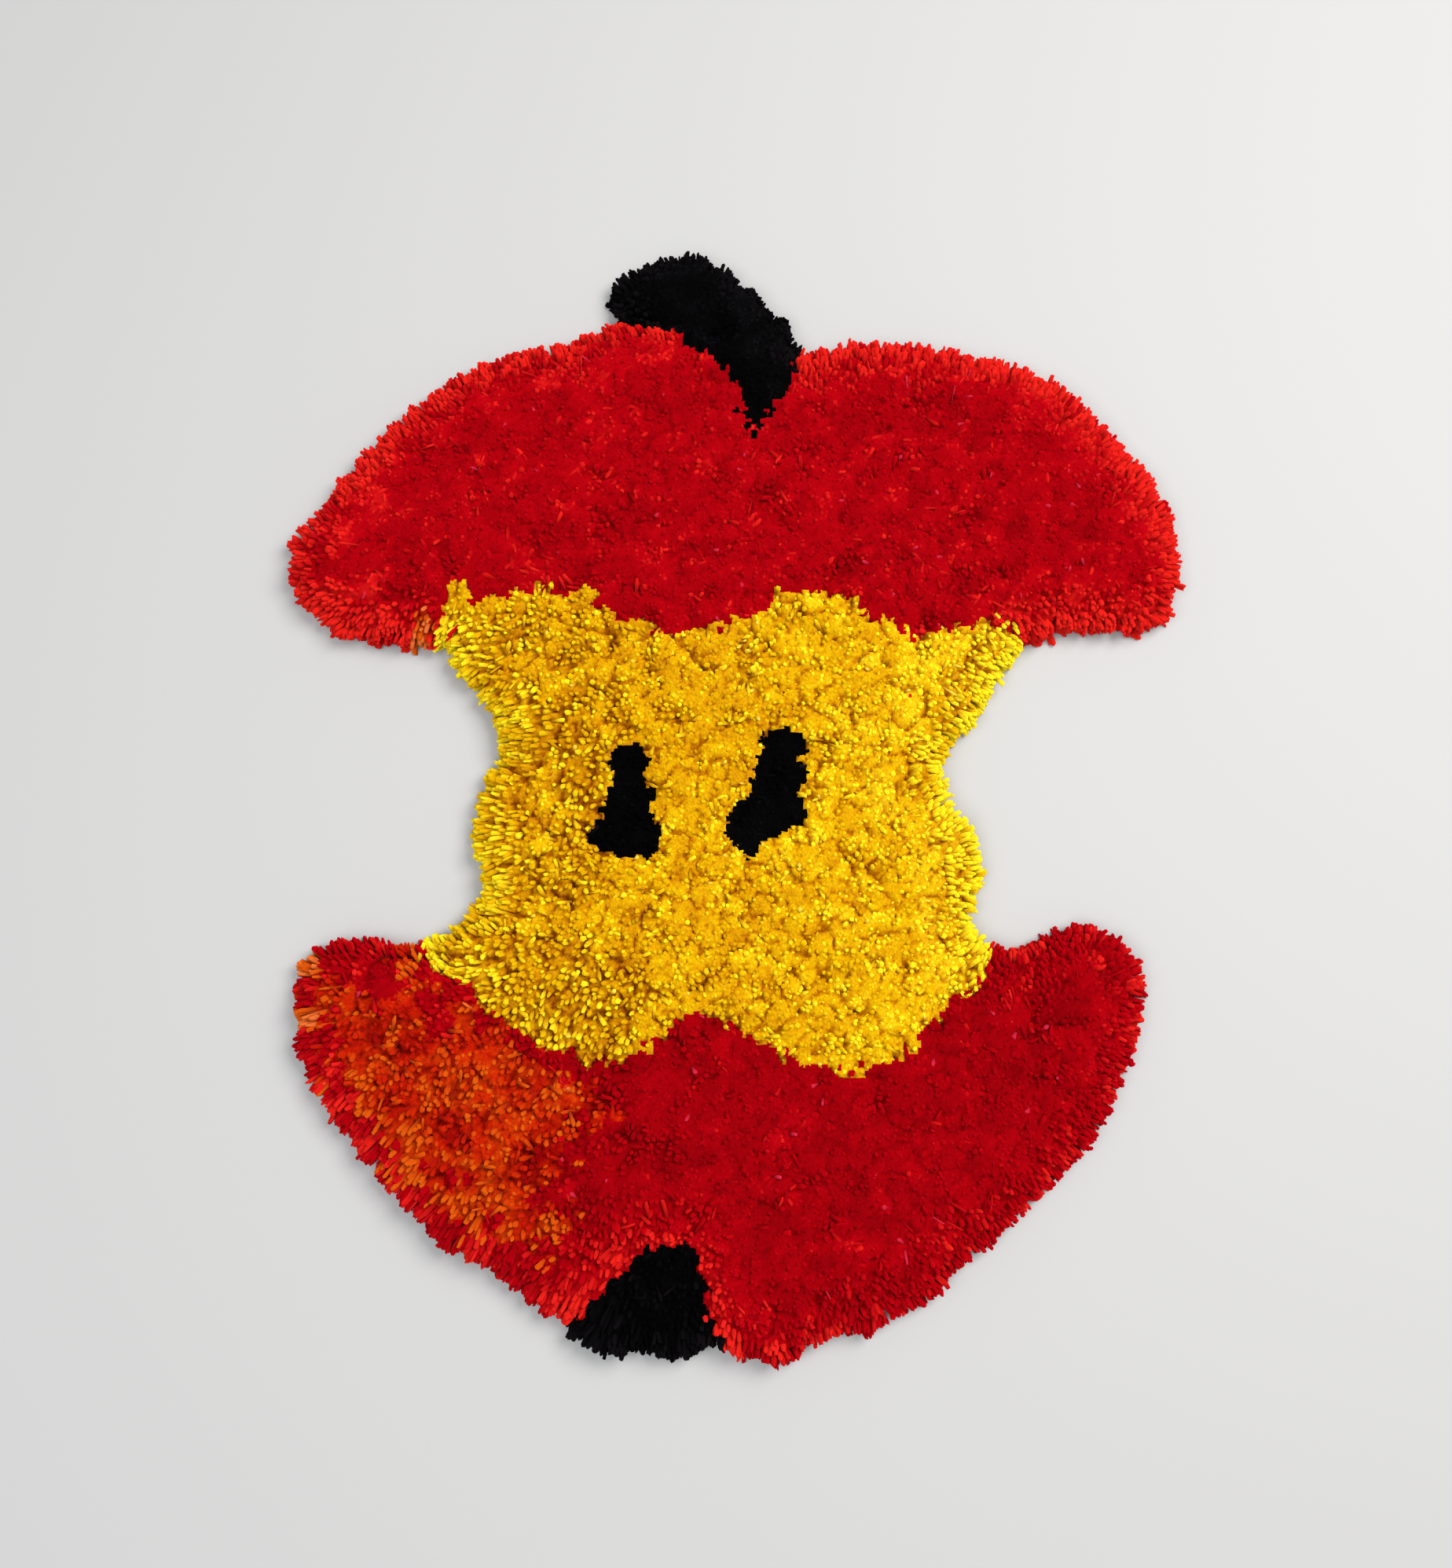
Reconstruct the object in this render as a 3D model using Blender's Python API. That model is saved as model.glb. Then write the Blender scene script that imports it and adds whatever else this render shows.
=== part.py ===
"""A punch needle wall piece: a shaggy, cut-pile fruit core that lies on its back.

Metres, with +Z up and +Y towards the fruit's stem. The underside of the foundation cloth is at z = 0, and
the origin lies under the middle of the piece. Yarn and cloth are one solid: a lumpy slab of pile, with
locks of yarn that fan out around its rim.
"""

import math

import bmesh
import bpy
import numpy as np
from mathutils import Matrix, Vector, geometry, kdtree, noise

MM = 0.001

# Pile
PILE_TOP = 24 * MM
RIM_TOP = 9 * MM
RIM_ROUND = 22 * MM
PARTING_DEPTH = 3.5 * MM
# Lumps as (size across, height) of each layer of unevenness
LUMPS = ((48 * MM, 3.6 * MM), (21 * MM, 3.6 * MM))
# Share of its height that a lump keeps at the rim
LUMP_AT_RIM = 0.3

# Mesh
FLAT_ANGLE = math.radians(0.5)
SHARP_ANGLE = math.radians(50)
OUTLINE_STEP = 10 * MM
FIELD_STEP = 12.5 * MM
FIELD_CLEARANCE = 0.62
FIELD_JITTER = 0.16
HANDLE_SHARE = 1 / 6
CORNER_SHARE = 1 / 3
CURVE_POINTS = 24
# Crossing outlines leave points this close together, which are made one
WELD = 0.1 * MM
SHORT_EDGE = 2.5 * MM
RIM_SAMPLE = 2 * MM
SEED = 7

# Locks of yarn at the rim: three-sided, every second one lying on the surface and the others above it
LOCK_STEP = 11 * MM
LOCK_REACH = (10 * MM, 15 * MM)
LOCK_SWAY = math.radians(16)
LOCK_ROOM = 7.5 * MM
LOCK_FREE_SHARE = 0.72
# Each section of a lock: way out from the rim (1 is the tip), underside height, width and thickness
LOW_LOCK = (
    (-0.55, 1.5 * MM, 9 * MM, 6 * MM),
    (0.12, 1.0 * MM, 9 * MM, 6.5 * MM),
    (0.5, 0.0, 8 * MM, 5.5 * MM),
    (1.0, 0.0, 4.5 * MM, 3 * MM),
)
HIGH_LOCK = (
    (-0.55, 5 * MM, 9 * MM, 6 * MM),
    (0.3, 7.5 * MM, 8.5 * MM, 6.5 * MM),
    (0.95, 8 * MM, 4.5 * MM, 3.5 * MM),
)

SMOOTH = False
CORNER = True

# Outlines of the yarn areas, in millimetres: x, y, corner
CAP = (
    (-259, 138, SMOOTH),
    (-226, 198, SMOOTH),
    (-152, 251, SMOOTH),
    (-80, 275, SMOOTH),
    (-30, 280, SMOOTH),
    (12, 258, SMOOTH),
    (24, 238, CORNER),
    (47, 264, SMOOTH),
    (106, 270, SMOOTH),
    (188, 249, SMOOTH),
    (246, 196, SMOOTH),
    (271, 136, SMOOTH),
    (252, 101, SMOOTH),
    (190, 98, SMOOTH),
    (0, 60, SMOOTH),
    (-165, 92, SMOOTH),
    (-236, 103, SMOOTH),
)
CORE = (
    (-162, 108, CORNER),
    (-98, 114, SMOOTH),
    (-38, 87, CORNER),
    (12, 99, SMOOTH),
    (52, 116, SMOOTH),
    (112, 87, CORNER),
    (174, 98, CORNER),
    (152, 56, SMOOTH),
    (124, 10, SMOOTH),
    (142, -48, SMOOTH),
    (136, -86, SMOOTH),
    (154, -112, CORNER),
    (78, -170, SMOOTH),
    (-14, -137, CORNER),
    (-82, -165, SMOOTH),
    (-174, -106, CORNER),
    (-137, -74, SMOOTH),
    (-141, -26, SMOOTH),
    (-125, 24, SMOOTH),
    (-160, 72, SMOOTH),
)
BASE = (
    (214, -92, SMOOTH),
    (239, -124, SMOOTH),
    (212, -196, SMOOTH),
    (136, -270, SMOOTH),
    (34, -326, SMOOTH),
    (-88, -300, SMOOTH),
    (-178, -238, SMOOTH),
    (-234, -168, SMOOTH),
    (-243, -114, SMOOTH),
    (-214, -102, SMOOTH),
    (-150, -118, SMOOTH),
    (0, -110, SMOOTH),
    (146, -112, SMOOTH),
)
PATCH = (
    (-234, -124, SMOOTH),
    (-160, -132, SMOOTH),
    (-84, -178, SMOOTH),
    (-98, -226, SMOOTH),
    (-104, -272, SMOOTH),
    (-160, -250, SMOOTH),
    (-224, -182, SMOOTH),
)
STEM = (
    (-66, 308, SMOOTH),
    (-24, 326, SMOOTH),
    (24, 304, SMOOTH),
    (43, 262, SMOOTH),
    (17, 212, CORNER),
    (4, 248, SMOOTH),
    (-28, 276, SMOOTH),
)
CALYX = (
    (-82, -310, SMOOTH),
    (-48, -271, SMOOTH),
    (-15, -267, CORNER),
    (-12, -318, SMOOTH),
    (-48, -325, SMOOTH),
)

# Seeds, in millimetres and degrees: x, y, length, top width, foot width, lean
SEEDS = (
    (-60, -15, 64, 17, 36, 7),
    (26, -8, 66, 25, 38, 18),
)
SEED_ARC_POINTS = 9

# Yarns and their colours, as linear red, green and blue
YARNS = {
    "red_yarn": (0.62, 0.012, 0.014),
    "yellow_yarn": (0.83, 0.47, 0.006),
    "black_yarn": (0.006, 0.006, 0.008),
    "orange_yarn": (0.71, 0.11, 0.012),
}
YARN_ROUGHNESS = 0.92


def smooth_loop(knots):
    """Evenly spaced points, in metres, on a closed curve through the knots. It is sharp only at corners."""
    places = [Vector((x, y, 0)) * MM for x, y, _ in knots]
    count = len(places)
    fine = []
    for index in range(count):
        before, here = places[index - 1], places[index]
        there, after = places[(index + 1) % count], places[(index + 2) % count]
        leaving = (there - before) * HANDLE_SHARE
        if knots[index][2] == CORNER:
            leaving = (there - here) * CORNER_SHARE
        arriving = (after - here) * HANDLE_SHARE
        if knots[(index + 1) % count][2] == CORNER:
            arriving = (there - here) * CORNER_SHARE
        stretch = geometry.interpolate_bezier(here, here + leaving, there - arriving, there, CURVE_POINTS)
        fine.extend(stretch[:-1])
    return evenly(np.array([point[:2] for point in fine]), OUTLINE_STEP)


def evenly(loop, step):
    """The closed loop with its points a step apart."""
    closed = np.vstack([loop, loop[:1]])
    along = np.concatenate([[0], np.cumsum(np.linalg.norm(np.diff(closed, axis=0), axis=1))])
    count = max(round(along[-1] / step), 8)
    stops = np.linspace(0, along[-1], count, endpoint=False)
    return np.stack([np.interp(stops, along, closed[:, axis]) for axis in (0, 1)], axis=1)


def seed_loop(x, y, length, top, foot, lean):
    """A drop: a small round top and a wide round foot, turned by lean degrees about its middle."""
    loop = []
    for radius, height, first in ((top / 2, length / 2 - top / 2, 0), (foot / 2, foot / 2 - length / 2, 180)):
        for index in range(SEED_ARC_POINTS):
            angle = math.radians(first + 180 * index / (SEED_ARC_POINTS - 1))
            loop.append((radius * math.cos(angle), height + radius * math.sin(angle)))
    turn = math.radians(-lean)
    turned = np.array(loop) @ np.array([[math.cos(turn), math.sin(turn)], [-math.sin(turn), math.cos(turn)]])
    return evenly((turned + (x, y)) * MM, OUTLINE_STEP)


def yarn_areas():
    """Each area as (yarn, outline, whether it parts from its neighbours). Earlier ones cover later ones."""
    areas = [("black_yarn", smooth_loop(STEM), True), ("black_yarn", smooth_loop(CALYX), True)]
    areas += [("black_yarn", seed_loop(*seed), True) for seed in SEEDS]
    areas.append(("yellow_yarn", smooth_loop(CORE), True))
    areas.append(("orange_yarn", smooth_loop(PATCH), False))
    areas += [("red_yarn", smooth_loop(CAP), True), ("red_yarn", smooth_loop(BASE), True)]
    return areas


def inside(points, loop):
    """Whether each point lies inside the closed loop."""
    x, y = points[:, :1], points[:, 1:]
    start, end = loop, np.roll(loop, -1, axis=0)
    spans = (start[:, 1] > y) != (end[:, 1] > y)
    rise = np.where(end[:, 1] == start[:, 1], 1.0, end[:, 1] - start[:, 1])
    crossing = start[:, 0] + (y - start[:, 1]) / rise * (end[:, 0] - start[:, 0])
    return (spans & (x < crossing)).sum(axis=1) % 2 == 1


def area_of(points, areas):
    """The index of the area that each point lies in, or -1 outside all of them."""
    found = np.full(len(points), -1)
    for index in reversed(range(len(areas))):
        found[inside(points, areas[index][1])] = index
    return found


def nearest(points, others):
    """The distance from each point to the nearest of the others."""
    tree = kdtree.KDTree(len(others))
    for index, other in enumerate(others):
        tree.insert((*other, 0), index)
    tree.balance()
    return np.array([tree.find((*point, 0))[2] for point in points])


def field_points(outlines, areas):
    """Points in staggered rows, a little uneven, that fill the areas between their outlines."""
    chance = np.random.default_rng(SEED)
    low, high = outlines.min(axis=0), outlines.max(axis=0)
    row_step = FIELD_STEP * math.sqrt(3) / 2
    rows = []
    for row in range(int((high[1] - low[1]) / row_step) + 1):
        across = np.arange(low[0] + (row % 2) * FIELD_STEP / 2, high[0], FIELD_STEP)
        rows.append(np.stack([across, np.full(len(across), low[1] + row * row_step)], axis=1))
    points = np.vstack(rows)
    points += chance.uniform(-1, 1, points.shape) * FIELD_STEP * FIELD_JITTER
    points = points[area_of(points, areas) >= 0]
    return points[nearest(points, outlines) > FIELD_STEP * FIELD_CLEARANCE]


def pile_plan(areas):
    """The plan of the pile as a flat bmesh of triangles. A face's material index is its area's index."""
    outlines = [loop for _, loop, _ in areas]
    edges = []
    first = 0
    for loop in outlines:
        count = len(loop)
        edges += [(first + index, first + (index + 1) % count) for index in range(count)]
        first += count
    outline = np.vstack(outlines)
    points = np.vstack([outline, field_points(outline, areas)])
    vectors = [Vector(point) for point in points]
    corners, _, triangles, *_ = geometry.delaunay_2d_cdt(vectors, edges, [], 0, WELD)
    plan = bmesh.new()
    verts = [plan.verts.new((*corner, 0)) for corner in corners]
    for triangle in triangles:
        plan.faces.new([verts[index] for index in triangle])
    middles = np.array([face.calc_center_median()[:2] for face in plan.faces])
    kept = area_of(middles, areas)
    for face, area in zip(list(plan.faces), kept, strict=True):
        if area < 0:
            plan.faces.remove(face)
        else:
            face.material_index = int(area)
    bare = [edge for edge in plan.edges if not edge.link_faces]
    bmesh.ops.delete(plan, geom=bare, context="EDGES")
    loose = [vert for vert in plan.verts if not vert.link_faces]
    bmesh.ops.delete(plan, geom=loose, context="VERTS")
    bmesh.ops.remove_doubles(plan, verts=plan.verts, dist=SHORT_EDGE)
    bmesh.ops.recalc_face_normals(plan, faces=plan.faces)
    if sum(face.normal.z for face in plan.faces) < 0:
        bmesh.ops.reverse_faces(plan, faces=plan.faces)
    plan.verts.index_update()
    return plan


def rim_loops(plan):
    """The rim of the plan as closed loops of points, each with the pile to its left."""
    after = {}
    for edge in plan.edges:
        if len(edge.link_faces) == 1:
            loop = edge.link_loops[0]
            after[loop.vert.index] = loop.link_loop_next.vert.index
    plan.verts.ensure_lookup_table()
    loops = []
    while after:
        start = next(iter(after))
        ring = [start]
        while after[ring[-1]] != start:
            ring.append(after.pop(ring[-1]))
        after.pop(ring[-1])
        loops.append(np.array([plan.verts[index].co[:2] for index in ring]))
    return loops


def lumps(x, y):
    height = 0
    for layer, (size, depth) in enumerate(LUMPS):
        height += depth * noise.noise(Vector((x / size, y / size, layer)))
    return height


def raise_pile(plan, areas, loops):
    """Lifts the plan to the pile's height, rounded at the rim and parted between yarns."""
    rim = np.vstack([evenly(loop, RIM_SAMPLE) for loop in loops])
    places = np.array([vert.co[:2] for vert in plan.verts])
    depth = nearest(places, rim)
    for vert, distance in zip(plan.verts, depth, strict=True):
        rise = math.sqrt(1 - (1 - min(distance / RIM_ROUND, 1)) ** 2)
        meets = {areas[face.material_index][0] for face in vert.link_faces if areas[face.material_index][2]}
        parting = PARTING_DEPTH if len(meets) > 1 else 0
        lump = lumps(vert.co.x, vert.co.y) * (LUMP_AT_RIM + (1 - LUMP_AT_RIM) * rise)
        vert.co.z = RIM_TOP + (PILE_TOP - RIM_TOP) * rise + lump - parting * rise


def close_underside(plan):
    """Drops walls from the rim to the cloth, and closes them with one flat underside at z = 0."""
    grown = bmesh.ops.extrude_face_region(plan, geom=plan.faces[:])["geom"]
    # The new faces are the pile, and the old ones become the underside.
    pile = {item for item in grown if isinstance(item, bmesh.types.BMVert)}
    for vert in plan.verts:
        if vert not in pile:
            vert.co.z = 0
    under = [face for face in plan.faces if not pile.intersection(face.verts)]
    edges = {edge for face in under for edge in face.edges}
    verts = {vert for face in under for vert in face.verts}
    bmesh.ops.dissolve_limit(plan, angle_limit=FLAT_ANGLE, verts=list(verts), edges=list(edges))
    bmesh.ops.recalc_face_normals(plan, faces=plan.faces)


def yarn_material(name, colour):
    material = bpy.data.materials.new(name)
    material.use_nodes = True
    shader = material.node_tree.nodes["Principled BSDF"]
    shader.inputs["Base Color"].default_value = (*colour, 1)
    shader.inputs["Roughness"].default_value = YARN_ROUGHNESS
    material.diffuse_color = (*colour, 1)
    return material


def lock_frames(loops, areas):
    """Where each lock leaves the rim: its place, outward direction, reach and area. No two meet."""
    chance = np.random.default_rng(SEED)
    rim = np.vstack([evenly(loop, RIM_SAMPLE) for loop in loops])
    frames = []
    taken = []
    for loop in loops:
        ring = evenly(loop, LOCK_STEP)
        along = np.roll(ring, -2, axis=0) - np.roll(ring, 2, axis=0)
        for place, way in zip(ring, along, strict=True):
            sway = chance.uniform(-LOCK_SWAY, LOCK_SWAY)
            reach = chance.uniform(*LOCK_REACH)
            heading = math.atan2(way[1], way[0]) - math.pi / 2 + sway
            outward = np.array([math.cos(heading), math.sin(heading)])
            ends = place + outward * reach * 0.5, place + outward * reach
            if area_of(np.array(ends), areas).max() >= 0:
                continue
            if nearest(ends[1:], rim)[0] < reach * LOCK_FREE_SHARE:
                continue
            if taken and min(nearest(ends, np.array(taken))) < LOCK_ROOM:
                continue
            taken.extend(ends)
            area = int(area_of(np.array([place - outward * LOCK_ROOM]), areas)[0])
            frames.append((place, outward, reach, area))
    return frames


def add_lock(locks, place, outward, reach, sections, yarn):
    """One lock of three-sided sections, flat underneath, from inside the pile to its tip."""
    aside = np.array([-outward[1], outward[0]])
    rings = []
    for way, low, width, thickness in sections:
        middle = place + outward * reach * way
        left, right = middle + aside * width / 2, middle - aside * width / 2
        corners = ((*left, low), (*right, low), (*middle, low + thickness))
        rings.append([locks.verts.new(corner) for corner in corners])
    faces = [locks.faces.new(rings[0][::-1]), locks.faces.new(rings[-1])]
    for near, far in zip(rings, rings[1:]):
        for side in range(3):
            after = (side + 1) % 3
            faces.append(locks.faces.new((near[side], near[after], far[after], far[side])))
    for face in faces:
        face.material_index = yarn


def rim_locks(loops, areas, yarns):
    """All the locks as one mesh object, which only joins the slab and isn't a part by itself."""
    locks = bmesh.new()
    for index, (place, outward, reach, area) in enumerate(lock_frames(loops, areas)):
        sections = HIGH_LOCK if index % 2 else LOW_LOCK
        add_lock(locks, place, outward, reach, sections, yarns.index(areas[area][0]))
    bmesh.ops.recalc_face_normals(locks, faces=locks.faces)
    mesh = bpy.data.meshes.new("rim_locks")
    locks.to_mesh(mesh)
    locks.free()
    helper = bpy.data.objects.new("rim_locks", mesh)
    helper.hide_render = True
    helper.display_type = "WIRE"
    return helper


def clear_scene():
    for item in list(bpy.data.objects):
        bpy.data.objects.remove(item)


def centre_on_origin(meshes):
    """Moves the meshes together, so that the origin is under the middle of their box."""
    places = np.array([vert.co for mesh in meshes for vert in mesh.vertices])
    middle = (places.min(axis=0) + places.max(axis=0)) / 2
    for mesh in meshes:
        mesh.transform(Matrix.Translation((-middle[0], -middle[1], 0)))


def collection_named(name):
    found = bpy.data.collections.new(name)
    bpy.context.scene.collection.children.link(found)
    return found


def build():
    clear_scene()
    yarns = list(YARNS)
    areas = yarn_areas()
    plan = pile_plan(areas)
    loops = rim_loops(plan)
    raise_pile(plan, areas, loops)
    for face in plan.faces:
        face.material_index = yarns.index(areas[face.material_index][0])
    close_underside(plan)
    mesh = bpy.data.meshes.new("shag_wall_piece")
    plan.to_mesh(mesh)
    plan.free()
    mesh.shade_smooth()
    mesh.set_sharp_from_angle(angle=SHARP_ANGLE)
    piece = bpy.data.objects.new("shag_wall_piece", mesh)
    locks = rim_locks(loops, areas, yarns)
    centre_on_origin((mesh, locks.data))
    for name, colour in YARNS.items():
        material = yarn_material(name, colour)
        piece.data.materials.append(material)
        locks.data.materials.append(material)
    collection_named("punch_needle_wall_piece").objects.link(piece)
    collection_named("helpers").objects.link(locks)
    join = piece.modifiers.new("rim locks", "BOOLEAN")
    join.operation = "UNION"
    join.object = locks


build()
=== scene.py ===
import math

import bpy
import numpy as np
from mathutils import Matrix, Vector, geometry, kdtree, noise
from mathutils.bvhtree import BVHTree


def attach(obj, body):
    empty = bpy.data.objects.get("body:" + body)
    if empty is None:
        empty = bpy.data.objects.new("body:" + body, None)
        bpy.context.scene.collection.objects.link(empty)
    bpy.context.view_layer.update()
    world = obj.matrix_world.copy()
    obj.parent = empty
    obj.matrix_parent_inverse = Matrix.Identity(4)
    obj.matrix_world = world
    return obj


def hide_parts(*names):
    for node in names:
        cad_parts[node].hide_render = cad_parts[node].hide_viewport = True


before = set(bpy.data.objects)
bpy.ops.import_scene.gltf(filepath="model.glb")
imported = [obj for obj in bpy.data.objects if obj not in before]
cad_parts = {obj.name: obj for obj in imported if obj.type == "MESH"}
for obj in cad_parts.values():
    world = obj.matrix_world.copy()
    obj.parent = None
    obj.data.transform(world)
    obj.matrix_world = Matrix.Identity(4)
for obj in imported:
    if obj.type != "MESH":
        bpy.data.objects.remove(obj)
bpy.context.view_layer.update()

# The looks of a punch needle wall piece that lies on its back. About 21,000 strands of cut rug yarn show. A
# fused bed of yarn closes the pile between them, and a foundation cloth lies under it. In the middle they
# stand in small tufts, and along every free edge they fan out over the floor. Lengths are in metres, +Y
# points to the stem, and the floor is at z = 0.

MM = 0.001
SEED = 11
NODE = "shag_wall_piece"

# The outlines are drawn around the middle of the photograph. part.py then moves the middle of its box to the
# origin, by this much.
DRAWN_MIDDLE = np.array([6.315, -0.231]) * MM

HANDLE_SHARE = 1 / 6
CORNER_SHARE = 1 / 3
CURVE_POINTS = 24
OUTLINE_STEP = 3 * MM
RIM_STEP = 2 * MM
CORNER = "corner"

# Outlines of the yarn areas, in millimetres: x, y, and CORNER where sharp. Earlier ones cover later ones.
OUTLINES = {
    "stem": (
        (-66, 308), (-24, 326), (24, 304), (43, 262), (17, 212, CORNER), (4, 248), (-28, 276),
    ),
    "calyx": (
        (-82, -310), (-48, -271), (-15, -267, CORNER), (-12, -318), (-48, -325),
    ),
    "left_seed": (
        (-64, 18), (-51, 19), (-45, 10), (-47, 0), (-42, -9), (-45, -17), (-39, -29), (-43, -45),
        (-57, -48), (-72, -43), (-82, -37), (-75, -21), (-72, -11), (-66, 0), (-70, 9),
    ),
    "right_seed": (
        (21, 26), (32, 29), (44, 27), (49, 19), (43, 13), (48, 5), (44, -8), (47, -22), (36, -31),
        (21, -38), (16, -45), (4, -39), (-1, -30), (5, -17), (15, -8), (16, 5), (20, 16),
    ),
    "core": (
        (-162, 108, CORNER), (-98, 114), (-38, 87, CORNER), (12, 99), (52, 116), (112, 87, CORNER),
        (174, 98, CORNER), (152, 56), (124, 10), (142, -48), (136, -86), (154, -112, CORNER), (78, -170),
        (-14, -137, CORNER), (-82, -165), (-174, -106, CORNER), (-137, -74), (-141, -26), (-125, 24),
        (-160, 72),
    ),
    "patch": (
        (-234, -124), (-160, -132), (-84, -178), (-98, -226), (-104, -272), (-160, -250), (-224, -182),
    ),
    "cap": (
        (-259, 138), (-226, 198), (-152, 251), (-80, 275), (-30, 280), (12, 258), (24, 238, CORNER),
        (47, 264), (106, 270), (188, 249), (246, 196), (271, 136), (252, 101), (190, 98), (0, 60),
        (-165, 92), (-236, 103),
    ),
    "base": (
        (214, -92), (239, -124), (212, -196), (136, -270), (34, -326), (-88, -300), (-178, -238),
        (-234, -168), (-243, -114), (-214, -102), (-150, -118), (0, -110), (146, -112),
    ),
}

# Single tufts of another yarn, in millimetres: x, y, radius, whose yarn it is and how much lighter they are
TUFTS = (
    (-190, -108, 10, "patch", 0), (-242, -111, 6.5, "patch", 0.35), (-238, -140, 6, "patch", 0.4),
    (-183, 96, 6, "patch", 0.15), (-202, -119, 13, "base", 0), (-165, -143, 9, "base", 0),
    (-99, -186, 8, "patch", 0), (-100, -206, 6, "patch", 0.1), (-62, -195, 4, "patch", 0),
    (-100, -256, 8, "patch", 0.1), (109, 50, 2, "base", 0), (-83, 112, 6, "core", 0.05),
    (-161, 113, 7, "core", 0), (-160, 103, 8, "core", 0), (-167, 96, 6, "core", 0),
    (-94, -308, 7, "calyx", 0), (-8, -322, 6, "calyx", 0), (-15, -321, 6, "calyx", 0),
)

# How far the pile reaches beyond the outlines of its areas, in millimetres: x, y, reach
REACHES = (
    (240, -165, 8), (248, -125, 8), (222, -84, 6.5), (188, -85, 8), (152, -80, 10), (152, -45, 12),
    (140, 0, 7), (140, 19, 7), (156, 45, 10), (178, 80, 12), (216, 88, 9), (239, 88, 8), (259, 92, 11),
    (282, 123, 6.5), (272, 170, 10), (244, 216, 8.5), (205, 252, 10.5), (154, 274, 8.5), (85, 283, 7),
    (60, 281, 6), (46, 287, 2), (34, 308, -1), (16, 323, 1.5), (-2, 331, 7), (-14, 339, 10),
    (-50, 332, 7.5), (-72, 320, 7.5), (-77, 296, 11), (-94, 287, 7.5), (-144, 267, 12), (-170, 256, 11.5),
    (-200, 237, 8), (-226, 216, 4), (-236, 205, 2), (-258, 175, 0.5), (-269, 153, 9), (-271, 132, 9),
    (-257, 103, 9), (-230, 88, 13), (-190, 82, 14), (-168, 66, 7), (-157, 45, 4.5), (-147, 36, 6),
    (-139, 18, 13), (-146, -1, 14), (-152, -26, 11.5), (-153, -60, 9.5), (-167, -83, 8), (-179, -94, 15),
    (-205, -91, 10), (-223, -90, 8.5), (-250, -104, 9.5), (-257, -133, 10), (-242, -177, 13),
    (-214, -217, 11.5), (-184, -247, 13.5), (-160, -268, 16), (-151, -277, 11), (-136, -285, 8.5),
    (-96, -308, 12), (-75, -328, 9), (-46, -336, 4.5), (-26, -336, 7), (-5, -336, 1.5), (14, -337, 6),
    (35, -336, 10), (53, -333, -1), (66, -329, 3), (91, -314, 10), (118, -296, 12), (140, -279, 8),
    (163, -262, 9), (205, -215, 9),
)

# Foundation cloth
CLOTH_INSET = 4.5 * MM
CLOTH_THICK = 1.2 * MM
CLOTH_STEP = 6 * MM

# Where the strands end, spread over the model's skin: no two nearer than this, and farther along their lean
END_GAP = 2.15 * MM
END_STRETCH = 1.2
END_STRETCH_MOST = 2.5
END_CELL = 3 * MM
UNDERSIDE = -0.5
TRIES = 300000
FIELD_STEP = 2 * MM
FIELD_MARGIN = 20 * MM
FIELD_BLUR = 5
# Points looked up at a time
CHUNK = 4000
REACH_BLEND = 6 * MM
HOME_INSET = 2 * MM
BORDER_WAVE = 9 * MM
BORDER_SHIFT = 1.6 * MM
BORDER_SCATTER = 1 * MM
BORDER_CLUMP = 0.6
BORDER_TUFT = 0.35
LOCK_BAND = 22 * MM
PATCH_TUFT = 7.5 * MM
PATCH_CLUMP = 6 * MM
PATCH_RIM = 24 * MM
PATCH_RIM_LOSS = 19 * MM
PATCH_TOP = 0.13
PATCH_BOTTOM = 0.26
PATCH_CONTRAST = 1.2
PATCH_FADE = 0.3
PATCH_SHIFT = 0.02
# The lightest tints but for flecks
LIGHTEST = 0.86
LIGHTEST_ORANGE = 0.87

# How they lean, and how much of them stands free
INNER_RADIUS = 1.3 * MM
RIM_RADIUS = 1.22 * MM
INNER_FREE = 9 * MM
RIM_FREE = 16 * MM
RIM_BAND = 42.5 * MM
RIM_LEAN = math.radians(84)
RIM_POWER = 1.35
SKIN_SHARE = 0.35
TUFT_FAN = math.radians(12)
TUFT_SWAY = math.radians(14)
TUFT_PULL = 0.14
# Share of a tuft's sway and fan at the rim
RIM_SWAY = 0.25
CLUMP_TURN = math.radians(9)
STRAND_TURN = math.radians(8)
STRAND_SWAY = math.radians(8)
STRAY_SHARE = 0.055
# Strays near the rim point outwards within this, and the others any way
STRAY_SWAY = math.radians(28)
STRAY_RIM = 0.25
STRAY_LEAN = math.radians(77)
STRAY_RISE = 1.1 * MM
# Flecks are the lightest strays: partly pink fibres, partly painted highlight on the fibres.
GLINT_FLECK_SHARE = 0.11
GLINT_FLECK_FREE = 4 * MM
# How unevenly they end, and how much more so at the rim
STEM_LOOSE = 0.45 * MM
INNER_LOOSE = 0.5 * MM
RIM_LOOSER = 0.4 * MM
END_RISE = 1.3 * MM
WISP_THIN = 0.5
STRAY_THIN = 0.8
STEM_LEAN = 0.35
STEM_END_LEAN = 0.75
STEM_END = 0.035
DRIFT_SIZE = 50 * MM
DRIFT = math.radians(14)
SWIRL_SIZE = 15 * MM
SWIRL = math.radians(24)
# The left side is combed down and to the left, more so over the patch
COMBED = np.array([-0.84, -0.54]) * math.radians(30)
PATCH_COMBED = np.array([-0.5, -0.87]) * math.radians(42)
# Around the black tuft under the base the pile hangs down over it
SKIRT = 38 * MM
SKIRT_LEAN = np.array([-0.1, -1]) * math.radians(38)
SKIRT_TINT = 0.36
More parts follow.
